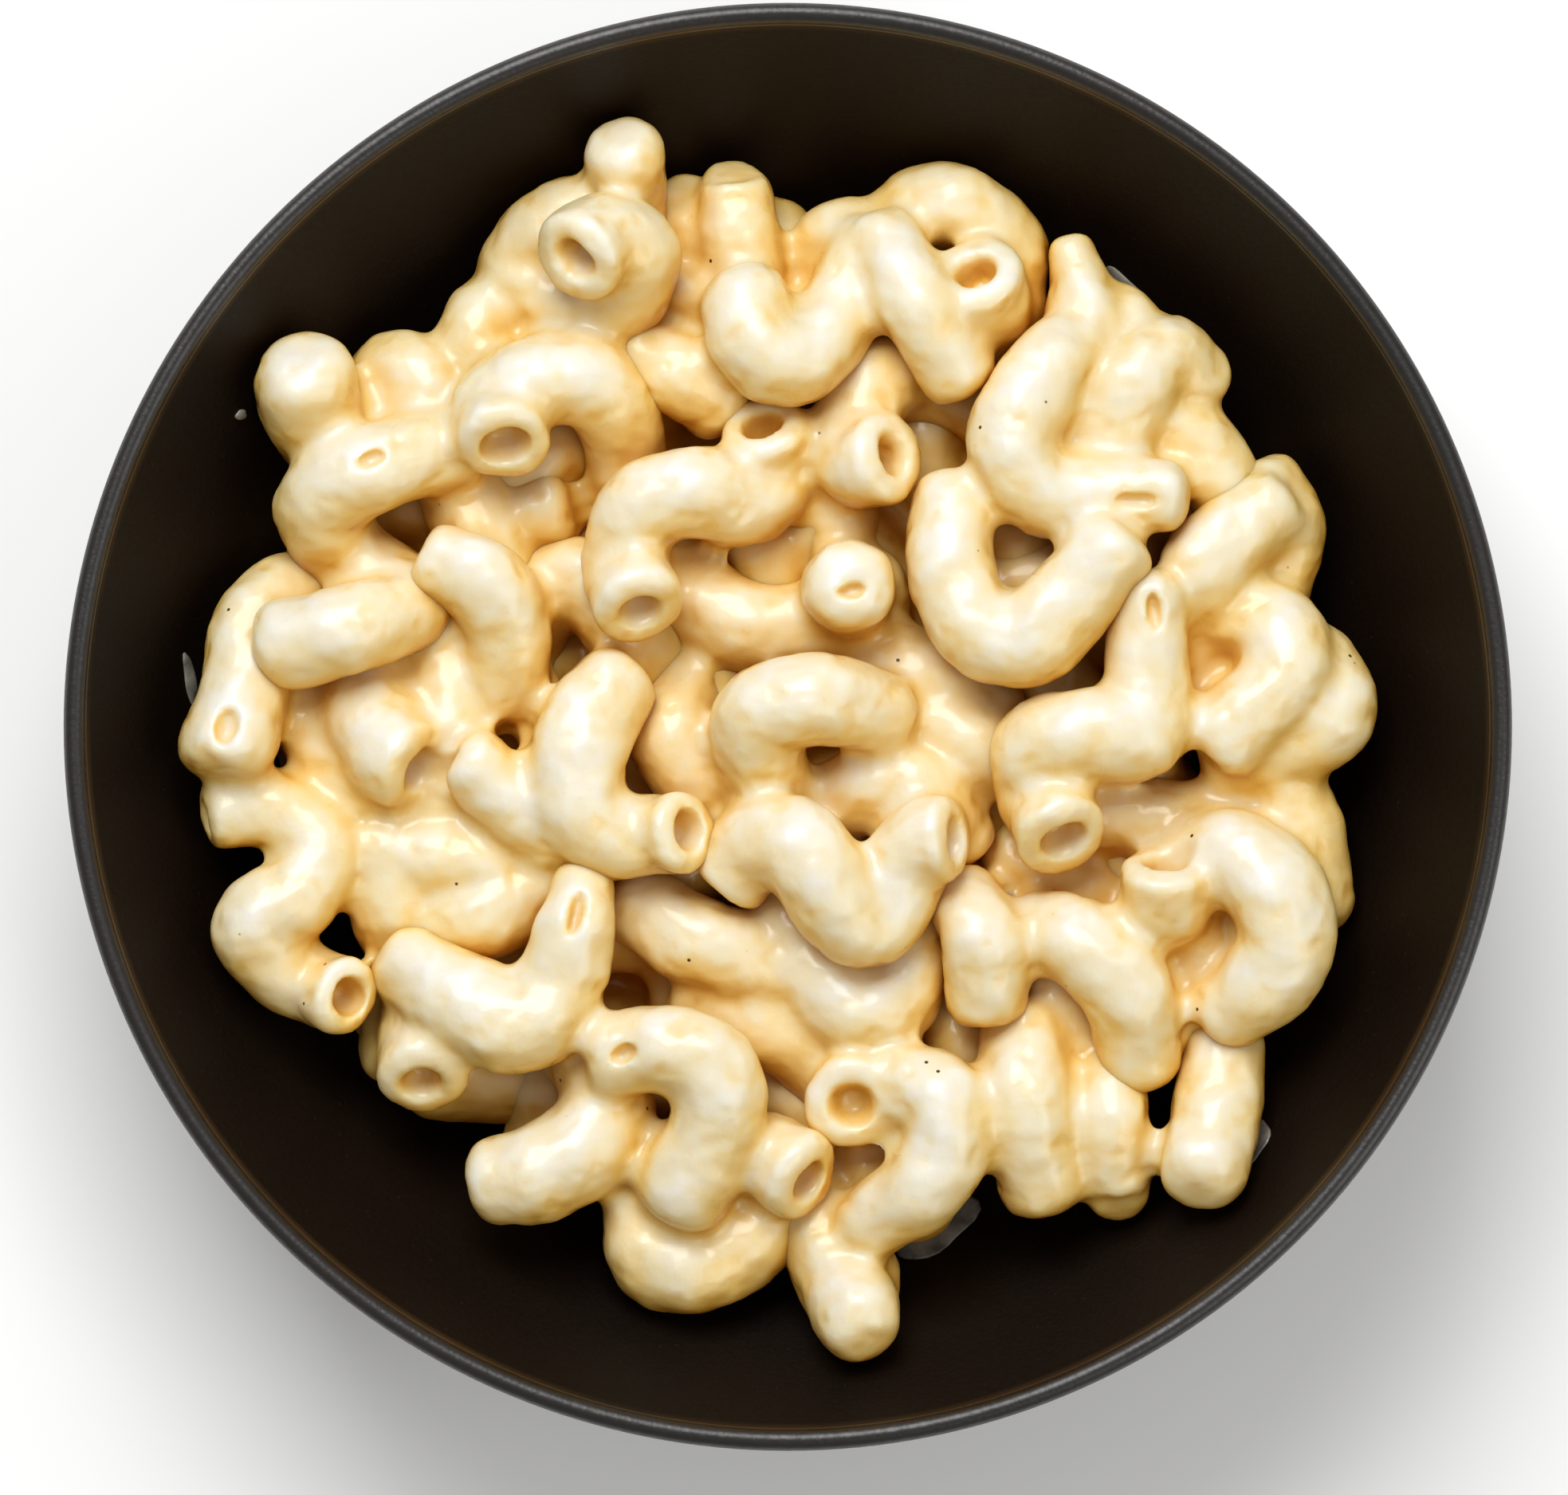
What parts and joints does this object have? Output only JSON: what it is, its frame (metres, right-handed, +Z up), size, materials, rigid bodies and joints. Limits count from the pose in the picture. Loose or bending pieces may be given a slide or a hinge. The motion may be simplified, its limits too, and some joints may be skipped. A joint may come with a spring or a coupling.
{
  "type": "mac and cheese in a bowl",
  "caption": "Corkscrew macaroni in a creamy cheese sauce, heaped in a shallow round matte black bowl that stands on a flat foot.",
  "frame": {"origin": "middle of the bowl's flat foot, on the table", "axes": "+Z up out of the bowl, +Y towards the back of the heap, +X to the right"},
  "size_m": [0.15, 0.15, 0.0437],
  "materials": {
    "bowl": "matte black glaze",
    "macaroni": "glossy cream-coloured cheese sauce"
  },
  "bodies": {
    "root": {"bowl": "bowl", "macaroni_heap": "macaroni"}
  },
  "joints": []
}
